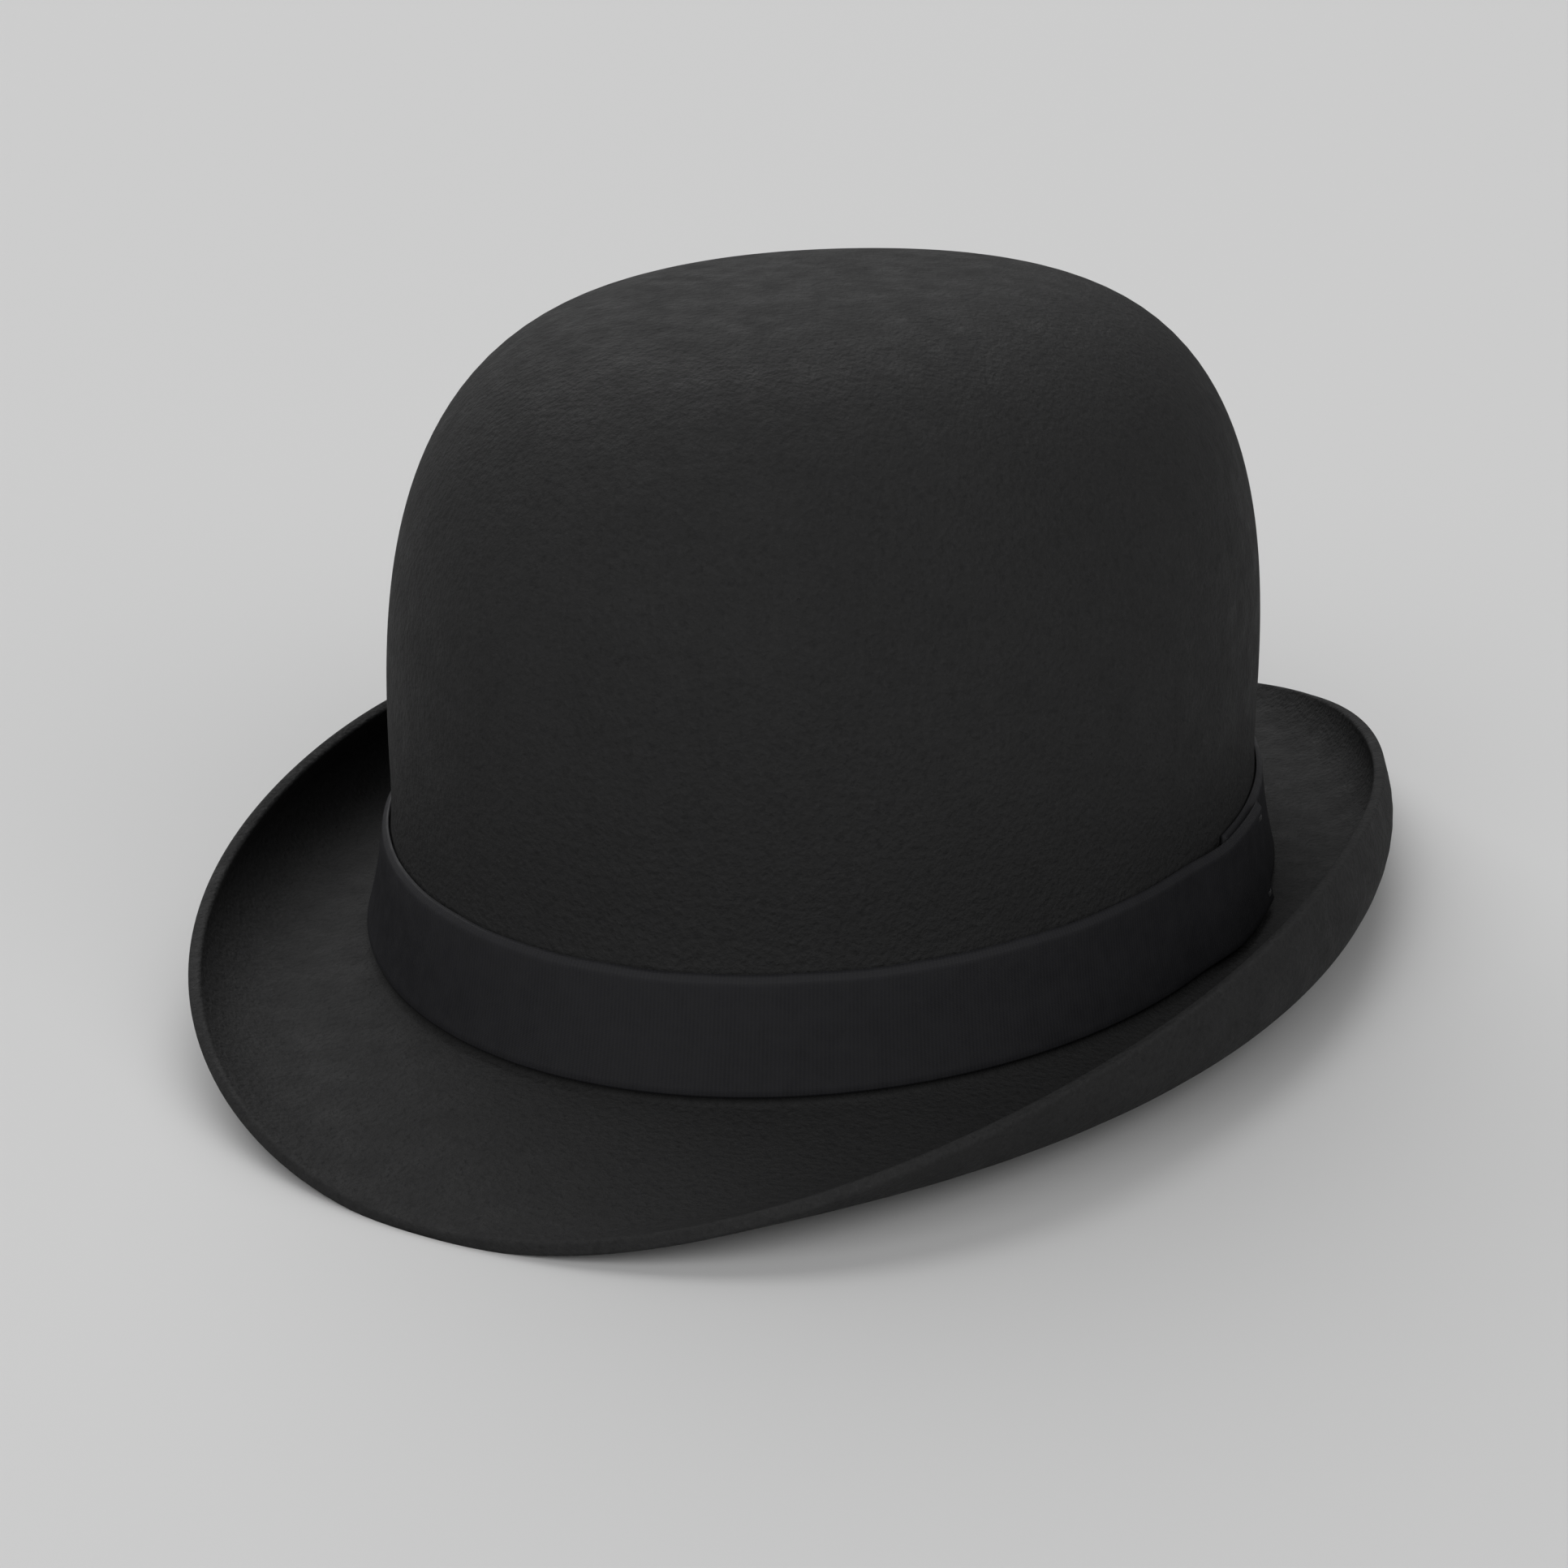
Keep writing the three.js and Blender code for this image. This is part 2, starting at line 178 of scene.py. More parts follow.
def dome_rise(k):
    """The share of the dome's height at a share of its radius."""
    return (1 - k**DOME_POWER) ** (1 / RISE_POWER)


DOME_SPLIT = 0.8  # share of the radius up to which the rows are even in radius


def dome_rows(over, down):
    """(radius share, height share) pairs: even in radius over the top, then even in height to the waist."""
    rows = [(DOME_SPLIT * i / over, dome_rise(DOME_SPLIT * i / over)) for i in range(1, over + 1)]
    low = rows[-1][1]
    for i in range(1, down + 1):
        rise = low * (1 - i / down)
        rows.append(((1 - rise**RISE_POWER) ** (1 / DOME_POWER), rise))
    return rows


SEAM_K = math.cos(SEAM_PHI) ** (2 / DOME_POWER)


def steps(first, last, count):
    """count + 1 even values from first to last."""
    return [first + (last - first) * i / count for i in range(count + 1)]


def turn(count):
    """count even angles once round."""
    return [TAU * i / count for i in range(count)]


# ---------------------------------------------------------------- making meshes
class Builder:
    """Collects lofted surfaces, with UV coordinates in metres, and turns them into one object."""

    def __init__(self):
        self.points, self.faces, self.uvs = [], [], []

    def loft(self, rings, wrap=False, shut=True, caps=False, poles=None):
        """rings[i][j]: i along the path, j round the section. wrap joins the last ring to the first, shut
        closes each section, caps fill the two ends, and poles are points that the outer rows meet."""
        n, m = len(rings), len(rings[0])
        base = len(self.points)
        self.points += [p for ring in rings for p in ring]
        along = self.lengths([ring[0] for ring in rings], wrap)
        across = self.lengths(rings[0], shut)
        for i in range(n if wrap else n - 1):
            for j in range(m if shut else m - 1):
                i2, j2 = (i + 1) % n, (j + 1) % m
                here, ahead = base + i * m, base + i2 * m
                self.faces.append([here + j, ahead + j, ahead + j2, here + j2])
                u1, u2, v1, v2 = along[i], along[i + 1], across[j], across[j + 1]
                self.uvs.append([(u1, v1), (u2, v1), (u2, v2), (u1, v2)])
        if caps:
            for i in (0, n - 1):
                ring = [base + i * m + j for j in range(m)]
                self.faces.append(ring if i else ring[::-1])
                self.uvs.append([(along[i], v) for v in across[:m]])
        if poles:
            for pole, j in zip(poles, (0, m - 1)):
                self.points.append(pole)
                for i in range(n):
                    self.faces.append([len(self.points) - 1, base + i * m + j, base + ((i + 1) % n) * m + j])
                    self.uvs.append([(along[i], across[j]), (along[i], across[j]), (along[i + 1], across[j])])

    @staticmethod
    def lengths(points, closed):
        """Running length along a line of points, for the cloth's UV coordinates."""
        out = [0.0]
        ring = points + points[:1] if closed else points
        for a, b in zip(ring, ring[1:]):
            out.append(out[-1] + (b - a).length)
        return out

    def make(self, name, material, node):
        """The finished piece, which stands in for one node of the CAD."""
        mesh = bpy.data.meshes.new(name)
        mesh.from_pydata([tuple(p) for p in self.points], [], self.faces)
        layer = mesh.uv_layers.new(name="cloth")
        layer.data.foreach_set("uv", [x for face in self.uvs for uv in face for x in uv])
        bm = bmesh.new()
        bm.from_mesh(mesh)
        bmesh.ops.recalc_face_normals(bm, faces=bm.faces)
        bm.to_mesh(mesh)
        bm.free()
        mesh.shade_smooth()
        mesh.materials.append(material)
        piece = bpy.data.objects.new(name, mesh)
        bpy.context.scene.collection.objects.link(piece)
        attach(piece, "root")
        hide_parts(node)
        return piece


TUBE_SIDES = 8
TUBE_END = 0.55  # how far a tube is pinched at its ends


def circle(middle, side, up, r):
    """One round section of a thread, with r in mm."""
    return [middle + (side * math.cos(a) + up * math.sin(a)) * r * MM for a in turn(TUBE_SIDES)]


def tube(path, r):
    """Round sections along a list of points in metres, with r in mm."""
    rings = []
    for i, p in enumerate(path):
        ahead = (path[min(i + 1, len(path) - 1)] - path[max(i - 1, 0)]).normalized()
        up = Vector((0, 0, 1)) if abs(ahead.z) < 0.8 else Vector((1, 0, 0))
        side = ahead.cross(up).normalized()
        up = side.cross(ahead)
        end = TUBE_END if i in (0, len(path) - 1) else 1.0
        rings.append(circle(p, side, up, r * end))
    return rings


# ---------------------------------------------------------------- materials
class Nodes:
    """A small helper that builds a material's node tree. Patterns may replace the plain color and roughness
    that it starts from."""

    def __init__(self, name, color, roughness, **sockets):
        self.material = bpy.data.materials.new(name)
        self.material.use_nodes = True
        self.tree = self.material.node_tree
        self.shader = self.tree.nodes["Principled BSDF"]
        self.set(self.shader, {"Base Color": (*color, 1), "Roughness": roughness})
        self.set(self.shader, {key.replace("_", " "): value for key, value in sockets.items()})
        self.coords = self.tree.nodes.new("ShaderNodeTexCoord")

    @staticmethod
    def set(node, values):
        for key, value in values.items():
            node.inputs[key].default_value = value

    def link(self, source, node, socket):
        """Feeds a socket from another node or from a plain number."""
        if isinstance(source, (int, float)):
            node.inputs[socket].default_value = source
        elif source is not None:
            self.tree.links.new(source, node.inputs[socket])

    def noise(self, scale, detail, roughness, stretch=None):
        vector = self.coords.outputs["Object"]
        if stretch:
            mapping = self.tree.nodes.new("ShaderNodeMapping")
            mapping.inputs["Scale"].default_value = stretch
            self.tree.links.new(vector, mapping.inputs["Vector"])
            vector = mapping.outputs["Vector"]
        node = self.tree.nodes.new("ShaderNodeTexNoise")
        self.set(node, {"Scale": scale, "Detail": detail, "Roughness": roughness})
        self.tree.links.new(vector, node.inputs["Vector"])
        return node.outputs["Fac"]

    def cells(self, scale):
        """Distance from the edges of small cells, as in the grain of leather."""
        node = self.tree.nodes.new("ShaderNodeTexVoronoi")
        node.feature = "DISTANCE_TO_EDGE"
        self.set(node, {"Scale": scale})
        self.tree.links.new(self.coords.outputs["Object"], node.inputs["Vector"])
        return node.outputs["Distance"]

    def math(self, operation, a, b=None, c=None):
        node = self.tree.nodes.new("ShaderNodeMath")
        node.operation = operation
        for i, value in enumerate((a, b, c)):
            self.link(value, node, i)
        return node.outputs[0]

    def ribs(self, along, across=None):
        """A wave from 0 to 1 over the cloth, from its pitches in mm in the two UV directions."""
        split = self.tree.nodes.new("ShaderNodeSeparateXYZ")
        self.tree.links.new(self.coords.outputs["UV"], split.inputs[0])
        phase = 0.0
        for axis, pitch in ((0, along), (1, across)):
            if pitch:
                phase = self.math("MULTIPLY_ADD", split.outputs[axis], TAU / (pitch * MM), phase)
        return self.math("MULTIPLY_ADD", self.math("SINE", phase), 0.5, 0.5)

    def spread(self, value, low, high, to_low=0.0, to_high=1.0):
        """Maps low and high to to_low and to_high."""
        node = self.tree.nodes.new("ShaderNodeMapRange")
        self.set(node, {"From Min": low, "From Max": high, "To Min": to_low, "To Max": to_high})
        self.tree.links.new(value, node.inputs["Value"])
        return node.outputs["Result"]

    def blend(self, value, low, high):
        """Mixes two colors, each a tuple or another node's output."""
        node = self.tree.nodes.new("ShaderNodeMix")
        node.data_type = "RGBA"
        self.tree.links.new(value, node.inputs["Factor"])
        for socket, color in (("A", low), ("B", high)):
            target = next(s for s in node.inputs if s.name == socket and s.type == "RGBA")
            if isinstance(color, tuple):
                target.default_value = (*color, 1)
            else:
                self.tree.links.new(color, target)
        return next(s for s in node.outputs if s.type == "RGBA")

    def color(self, source):
        self.link(source, self.shader, "Base Color")

    def roughness(self, source):
        self.link(source, self.shader, "Roughness")

    def bump(self, *layers):
        """Each layer is (height, depth in mm, strength)."""
        normal = None
        for height, depth, strength in layers:
            node = self.tree.nodes.new("ShaderNodeBump")
            self.set(node, {"Distance": depth * MM, "Strength": strength})
            self.tree.links.new(height, node.inputs["Height"])
            if normal is not None:
                self.tree.links.new(normal, node.inputs["Normal"])
            normal = node.outputs["Normal"]
        self.tree.links.new(normal, self.shader.inputs["Normal"])


def felt_material():
    """Hard black fur felt: a fine nap over slow, shallow dents, with painted shade darkening the dents and
    light flecks on the nap as a painted highlight.
    """
    m = Nodes("felt", (0.018, 0.018, 0.0185), 0.8, Specular_IOR_Level=0.09)
    patches = m.noise(38, 3, 0.5)
    nap = m.noise(1150, 4, 0.6)
    dents = m.noise(760, 3, 0.55)
    hairs = m.noise(900, 3, 0.7, (1.0, 1.0, 0.28))
    base = m.blend(m.spread(patches, 0.3, 0.7), (0.0228, 0.0228, 0.0230), (0.0246, 0.0246, 0.0248))
    # painted highlight: light flecks where the nap is high
    base_with_painted_highlight = m.blend(m.spread(nap, 0.50, 0.80, 0.0, 0.5), base, (0.037, 0.037, 0.0375))
    # painted shade: the dents are painted darker than the rest of the felt
    m.color(m.blend(m.spread(dents, 0.30, 0.46), (0.0198, 0.0198, 0.0200), base_with_painted_highlight))
    m.roughness(m.spread(m.noise(160, 3, 0.6), 0.3, 0.7, 0.66, 0.86))
    m.bump((dents, 0.62, 0.9), (nap, 0.30, 0.8), (hairs, 0.10, 0.4))
    return m.material


def grosgrain_material():
    """Black grosgrain: round ribs across its width, packed by fine warp threads, with a dull silky shine."""
    m = Nodes("grosgrain", (0.0115, 0.0115, 0.0135), 0.5, Specular_IOR_Level=0.14)
    ribs = m.ribs(0.72)
    warp = m.ribs(None, 0.22)
    uneven = m.noise(260, 3, 0.6)
    base = m.blend(ribs, (0.0160, 0.0160, 0.0178), (0.0200, 0.0200, 0.0222))
    m.color(m.blend(m.spread(uneven, 0.35, 0.75, 0.0, 0.6), base, (0.0240, 0.0240, 0.0262)))
    m.roughness(m.spread(uneven, 0.3, 0.7, 0.5, 0.66))
    m.bump((ribs, 0.05, 0.35), (warp, 0.03, 0.4), (uneven, 0.06, 0.25))
    return m.material


def leather_material():
    """Brown calf sweatband: fine cells of grain, faint creases, darker where it has been handled."""
    m = Nodes("sweat_leather", (0.17, 0.085, 0.045), 0.45, Specular_IOR_Level=0.45, Coat_Weight=0.06,
              Coat_Roughness=0.35)
    cells = m.cells(1500)
    creases = m.noise(260, 5, 0.65, (1.0, 1.0, 0.5))
    handled = m.noise(34, 4, 0.6)
    base = m.blend(m.spread(handled, 0.32, 0.68), (0.120, 0.056, 0.028), (0.205, 0.104, 0.055))
    grain = m.spread(cells, 0.0, 0.09)
    m.color(m.blend(grain, (0.075, 0.034, 0.018), base))
    m.roughness(m.spread(creases, 0.3, 0.7, 0.36, 0.58))
    m.bump((grain, 0.05, 0.5), (creases, 0.16, 0.3))
    return m.material


def satin_material():
    """Pale grey satin: long floats that run one way, slubs and a soft shine."""
    m = Nodes("satin", (0.35, 0.33, 0.30), 0.34, Specular_IOR_Level=0.6, Sheen_Weight=0.12,
              Sheen_Roughness=0.3, Anisotropic=0.4)
    floats = m.ribs(0.24, 1.9)
    slubs = m.noise(90, 4, 0.6, (1.0, 1.0, 0.12))
    base = m.blend(m.spread(slubs, 0.3, 0.7), (0.315, 0.295, 0.265), (0.385, 0.365, 0.335))
    m.color(m.blend(m.spread(floats, 0, 1, 0.0, 0.35), base, (0.42, 0.40, 0.37)))
    m.roughness(m.spread(slubs, 0.3, 0.7, 0.29, 0.42))
    m.bump((floats, 0.02, 0.4), (slubs, 0.12, 0.3))
    return m.material


def twill_material():
    """Black cotton twill tape with steep diagonal ribs."""
    m = Nodes("twill", (0.02, 0.02, 0.022), 0.85, Specular_IOR_Level=0.3, Sheen_Weight=0.1,
              Sheen_Roughness=0.6)
    ribs = m.ribs(0.7, 0.9)
    fuzz = m.noise(1400, 3, 0.6)
    m.color(m.blend(ribs, (0.012, 0.012, 0.013), (0.028, 0.028, 0.030)))
    m.roughness(m.spread(fuzz, 0.3, 0.7, 0.78, 0.92))
    m.bump((ribs, 0.08, 0.6), (fuzz, 0.05, 0.3))
    return m.material


def yarn_material(name, groove_shade, light, pitch, roughness):
    """Twisted thread or cord: slanting strands, darker between them as painted shade."""
    m = Nodes(name, light, roughness, Specular_IOR_Level=0.4, Sheen_Weight=0.1, Sheen_Roughness=0.5)
    strands = m.ribs(pitch, pitch * 1.6)
    fuzz = m.noise(2600, 2, 0.6)
    # painted shade: the colour is darker in the grooves between the strands
    m.color(m.blend(strands, groove_shade, light))
    m.roughness(m.spread(fuzz, 0.3, 0.7, roughness - 0.08, min(1.0, roughness + 0.1)))
    m.bump((strands, 0.06, 0.7), (fuzz, 0.03, 0.4))
    return m.material


FELT_LOOK = felt_material()
GROSGRAIN_LOOK = grosgrain_material()
LEATHER_LOOK = leather_material()
SATIN_LOOK = satin_material()
TWILL_LOOK = twill_material()
# the first colour given to each yarn is painted shade between its strands
REED_LOOK = yarn_material("reed_cord", (0.36, 0.31, 0.24), (0.58, 0.53, 0.44), 1.0, 0.8)
BLACK_THREAD = yarn_material("black_thread", (0.004, 0.004, 0.005), (0.011, 0.011, 0.012), 0.35, 0.75)
TAN_THREAD = yarn_material("tan_thread", (0.20, 0.145, 0.08), (0.36, 0.28, 0.17), 0.35, 0.6)
GIMP_LOOK = yarn_material("gimp", (0.20, 0.19, 0.165), (0.42, 0.40, 0.36), 0.6, 0.4)


# ---------------------------------------------------------------- the felt
FELT_STEPS = 288  # faces once round the hat
CROWN_ROWS, INNER_ROWS = (26, 30), (12, 16)  # rows of faces over the dome and down it, outside and inside
FLARE_ROWS = 9  # rows from the waist to the corner
CORNER_ROWS = 6  # rows round the corner between crown and brim
BRIM_ROWS = 44  # rows out along the brim's upper face
EDGE_R = 0.75  # rounding of the brim's two cut corners
EDGE_ROWS = 5  # rows round each of them
UNEVEN_SPAN = 42.0  # length in mm of the crown's slow, hand-made unevenness
UNEVEN_SHARE = 0.0012  # its depth, as a share of a point's distance from the frame's origin


def uneven(p):
    """p moved a hair in or out."""
    return p * (1 + UNEVEN_SHARE * noise.noise(p / (UNEVEN_SPAN * MM)))


def felt_section(t):
    """One line of points from the crown's top, round the brim's edge and back up to the top inside."""
    foot = foot_z(t)
    flare = steps(WAIST_Z, foot + FILLET, FLARE_ROWS)[1:-1]
    rows = brim_rows(t, CORNER_ROWS, BRIM_ROWS)

    def at(d, z):
        """A point outward from the crown's foot. What would lie below the table is pressed flat on it."""
        return around(t, FOOT[0] + d, FOOT[1] + d, foot + max(-foot, z))

    def lower(row):
        d, z, h = row
        return at(d + FELT * math.sin(h), z - FELT * math.cos(h))

    d, z, h = rows[-1]
    edge = []
    for drop, angles in ((EDGE_R, steps(90, 0, EDGE_ROWS)), (FELT - EDGE_R, steps(0, -90, EDGE_ROWS))):
        for a in angles:
            x = EDGE_R * (math.cos(math.radians(a)) - 1)
            y = EDGE_R * math.sin(math.radians(a)) - drop
            edge.append(at(d + x * math.cos(h) - y * math.sin(h), z + x * math.sin(h) + y * math.cos(h)))

    outside = [dome(t, 0, k, rise) for k, rise in dome_rows(*CROWN_ROWS)] + [wall(t, 0, z) for z in flare]
    outside = [uneven(p) for p in outside]
    brim = [at(row[0], row[1]) for row in rows[:-1]]
    # every second row is enough underneath, in along the brim and then up round the corner
    under = [lower(row) for row in rows[-2:CORNER_ROWS:-2] + rows[CORNER_ROWS::-2]]
    inside = [wall(t, -FELT, z) for z in flare[::-1]]
    inside += [dome(t, -FELT, k, rise) for k, rise in dome_rows(*INNER_ROWS)[::-1]]
    return outside + brim + edge + under + inside


def make_felt():
    b = Builder()
    top = uneven(Vector((0, 0, WAIST_Z + DOME)) * MM)
    inner = Vector((0, 0, WAIST_Z + DOME - FELT)) * MM
    b.loft([felt_section(t) for t in turn(FELT_STEPS)], wrap=True, shut=False, poles=(top, inner))
    b.make("felt_hat", FELT_LOOK, "felt_body")


# ---------------------------------------------------------------- the ribbon
LAP_SHIFT = CLEAR + RIBBON_THICK
RIBBON_STEPS = 420
RIBBON_WAVER = 0.10  # how far the ribbon's top edge wanders up and down
TURNED_END = ((0.0, 0.35), (0.06, 0.7), (0.16, 0.9), (0.32, 1.0))  # degrees from the end, share of thickness
TURNED_SPAN = 0.8  # degrees from the end to the first plain section
TACK_R, TACK_PITCH = 0.13, 0.275
TACK_EDGE = 2.5  # distance of each tack from the ribbon's nearer edge
TACK_MID, TACK_REACH = 1.5, 0.75  # degrees from the ribbon's end, and to each side of that
TACK_PROUD, TACK_SUNK = 0.16, 0.05  # how far a tack bows out from its ends, and how deep those go in


def ribbon_offset(deg):
    """Outward offset of the ribbon's inner face: its outer end rides over its own start."""
    over = LAP_END - LAP_UNDER
    return CLEAR + LAP_SHIFT * smooth((deg - over + LAP_EASE) / LAP_EASE)


def ribbon_section(t, full):
    """full is 1 along the ribbon and falls at its turned-under end, where the fold is round."""
    deg = math.degrees(t)
    off = ribbon_offset(deg)
    z0 = foot_z(t) + RIBBON_ABOVE
    mid = RIBBON_THICK / 2
    half = mid * full
    bulge = RIBBON_WAVER * math.sin(t * 23) * math.sin(t * 7 + 1)
    # (share of the thickness, height) up the outer face and over the bevel, then down the inner face
    outer = [(0.35, 0.0), (0.85, 0.12), (1.0, 0.5)]
    shoulder = RIBBON_WIDTH - RIBBON_SLOPE
    outer += [(1.0 + 0.03 * math.sin(math.pi * u), shoulder * u) for u in steps(0.08, 0.97, 10)]
    outer += [(0.985, shoulder), (0.9, shoulder + 0.28), (0.5, shoulder + 0.86)]
    outer += [(0.22, RIBBON_WIDTH), (0.0, RIBBON_WIDTH - 0.25)]
    inner = [(0.0, RIBBON_WIDTH * u) for u in steps(0.92, 0.04, 6)]
    section = []
    for x, z in outer + inner:
        depth = mid + (x * RIBBON_THICK - mid) / mid * half
        section.append(wall(t, off + depth, z0 + z + bulge * z / RIBBON_WIDTH))
    return section


def make_ribbon():
    first, last = LAP_END, LAP_END - 360 - LAP_UNDER
    b = Builder()
    rings = []
    for back, full in TURNED_END:
        rings.append(ribbon_section(math.radians(first - back), full))
    rings += [ribbon_section(math.radians(a), 1.0) for a in steps(first - TURNED_SPAN, last, RIBBON_STEPS)]
    b.loft(rings, caps=True)
    piece = b.make("ribbon_band_cloth", GROSGRAIN_LOOK, "ribbon_band")


def make_tack(name, node, height):
    """Three short stitches side by side that hold the ribbon's end down."""
    b = Builder()
    off = CLEAR + LAP_SHIFT + RIBBON_THICK
    for row in (-1, 0, 1):
        path = []
        for u in steps(-1, 1, 6):
            t = math.radians(LAP_END - TACK_MID + TACK_REACH * u)
            z = foot_z(t) + RIBBON_ABOVE + height + row * TACK_PITCH
            path.append(wall(t, off + TACK_PROUD * (1 - u * u) - TACK_SUNK, z))
        b.loft(tube(path, TACK_R), caps=True)
    b.make(name, BLACK_THREAD, node)


# ---------------------------------------------------------------- the sweatband
SEAM_HALF = 0.3  # half the width of the back seam's slit, in degrees
ROUND_STEPS = 240  # faces once round the hat for the sweatband and what is sewn to it
FOLD_STEPS = 12
LEAF_FROM, LEAF_ROWS = 3.0, 34  # where the leaf's rows begin above the fold, and how many there are


def leaf_off(z):
    """Offset of the face that the head touches, at height z above the fold."""
    start = REED_OFF - FOLD_R
    lean = start + FOLD_R * 2 - LEATHER - 0.1
    if z < SWEAT_LEAN:
        return start + (lean - start) * smooth((z - SWEAT_STRAIGHT) / (SWEAT_LEAN - SWEAT_STRAIGHT))
    high = LEAN_OFF - LEATHER
    return lean + (high - lean) * smooth((z - SWEAT_LEAN) / (LINING_FROM - SWEAT_LEAN))


def sweat_section(t):
    """From the short flap behind, round the fold, up the leaf, over its edge and down again."""
    fold = fold_z(t)
    outer, inner = [], []
    for h in steps(0, math.pi, FOLD_STEPS):
        outer.append((REED_OFF + FOLD_R * math.cos(h), FOLD_R - FOLD_R * math.sin(h)))
        r = FOLD_R - LEATHER
        inner.append((REED_OFF + r * math.cos(h), FOLD_R - r * math.sin(h)))
    heights = steps(LEAF_FROM, SWEAT_HEIGHT - 0.5, LEAF_ROWS)
    away = math.pi - abs((t % TAU) - math.pi)  # angle from the front, so the ripple dies out at the back seam
    # a slight ripple that grows up the leaf
    wave = 0.28 * math.sin(9 * t + 1.3) * math.sin(2 * t) + 0.12 * math.sin(23 * t)
    ripple = [-(0.3 + wave) * smooth((z - 26) / 30) * smooth((math.pi - away) * 6) for z in heights]
    face = [(leaf_off(z) + r, z) for z, r in zip(heights, ripple)]
    skived = [LEATHER * (1 - 0.35 * smooth((z - 40) / 12)) for z in heights]  # thinner towards its upper edge
    back = [(x + thick, z) for (x, z), thick in zip(face, skived)]
    near, far = face[-1][0], back[-1][0]
    below = SWEAT_HEIGHT - 0.2
    tip = [(near + 0.08, below), ((near + far) / 2, SWEAT_HEIGHT), (far - 0.08, below)]
    below = SWEAT_FLAP - 0.2
    flap = [(FLAP_OUT - LEATHER, below), (FLAP_OUT - LEATHER / 2, SWEAT_FLAP), (FLAP_OUT, below)]
    section = flap + outer + face + tip + back[::-1] + inner[::-1]
    return [wall(t, off, fold + z) for off, z in section]


def make_sweatband():
    b = Builder()
    first, last = (math.radians(a) for a in (-180 + SEAM_HALF, 180 - SEAM_HALF))
    b.loft([sweat_section(t) for t in steps(first, last, ROUND_STEPS)], caps=True)
    b.make("sweatband_leather", LEATHER_LOOK, "sweatband")


REED_SIDES = 12


def make_reed():
    """The cord in the fold."""
    b = Builder()
    rings = []
    for t in turn(ROUND_STEPS):
        middle = fold_z(t) + FOLD_R
        ring = []
        for a in turn(REED_SIDES):
            ring.append(wall(t, REED_OFF + REED_R * math.cos(a), middle + REED_R * math.sin(a)))
        rings.append(ring)
    b.loft(rings, wrap=True)
    b.make("reed", REED_LOOK, "sweatband_reed")


STITCHES = 212  # once round the hat, which puts them about 2.8 mm apart
STITCH_SLANT = 0.12  # how far each end is above or below the row
STITCH_HALF = 0.36  # half of a stitch, as a share of their spacing
STITCH_PROUD, STITCH_SUNK = 0.27, 0.08  # how far a stitch bows out from its ends, and how deep those go in


def make_sweat_stitches():
    """A row of running stitches just above the fold, each one dipping into the leather at both ends."""
    b = Builder()
    off = REED_OFF - FOLD_R
    for i in range(STITCHES):
        mid = TAU * (i + 0.5) / STITCHES
        path = []
        for u in steps(-1, 1, 6):
            t = mid + u * TAU / STITCHES * STITCH_HALF
            z = fold_z(t) + STITCH_RISE + STITCH_SLANT * u
            path.append(wall(t, off - STITCH_PROUD * (1 - u**4) + STITCH_SUNK, z))
        b.loft(tube(path, THREAD_R), caps=True)
    b.make("sweatband_stitches", TAN_THREAD, "sweatband_thread")


# the tape's outline with rounded corners: (share of the thickness inwards, share of the width upwards)
TAPE_UP = ((0, 0.12), (0, 0.5), (0, 0.88), (0.15, 1))
TAPE_OUTLINE = TAPE_UP + tuple((1 - off, z) for off, z in TAPE_UP[::-1]) + ((0.85, 0), (0.15, 0))


def make_tape():
    b = Builder()
    rings = []
    for t in turn(ROUND_STEPS):
        low = fold_z(t) + TAPE_FROM
        ring = []
        for off, z in TAPE_OUTLINE:
            ring.append(wall(t, -FELT - CLEAR - off * TAPE_THICK, low + (TAPE_TO - TAPE_FROM) * z))
        rings.append(ring)
    b.loft(rings, wrap=True)
    b.make("tape", TWILL_LOOK, "sweatband_tape")


CROSSES = 9  # crossed stitches up the back seam
CROSS_HALF = 1.5  # half of a cross's width
CROSS_LOW, CROSS_HIGH = SWEAT_LEAN + 2, SWEAT_HEIGHT - 3


def make_back_seam():
    """Crossed stitches that lace the two ends of the leather together."""
    b = Builder()
    pitch = (CROSS_HIGH - CROSS_LOW) / CROSSES
    for i in range(CROSSES):
        for way in (1, -1):
            path = []
            for u in steps(-1, 1, 10):
                rise = CROSS_LOW + pitch * (i + 0.5) + u * pitch * 0.42
                z = fold_z(BACK) + rise
                # one thread of each cross rides over the other
                lift = 0.3 + 0.32 * (1 - u**4) + (0.2 if way > 0 else 0.0) * (1 - u * u)
                t = BACK + way * u * CROSS_HALF / (WAIST[1] - 5)
                path.append(wall(t, leaf_off(rise) - lift, z))
            b.loft(tube(path, THREAD_R), caps=True)
    b.make("back_seam_stitches", TAN_THREAD, "back_seam_thread")


# ---------------------------------------------------------------- the bow
BOW_RISE = 10.6  # height of its middle above the fold
BOW_REACH = 15.5  # from the knot to the end of a loop
BOW_BACK = REED_OFF - FOLD_R - CLEAR  # offset of its back
BOW_CLOTH = 0.28  # thickness of its ribbon
KNOT_HALF = 1.7  # half the length of the knot's wrap
KNOT_DEPTH, KNOT_RISE = 1.72, 2.5  # depth of its middle, and half its height


def bow_point(x, depth, z):
    """A point x mm along the hat from the middle of its back, depth mm in from the bow's back and z mm up."""
    t = BACK + x / (FOOT[1] + BOW_BACK)
    return wall(t, BOW_BACK - depth, fold_z(BACK) + BOW_RISE + z)


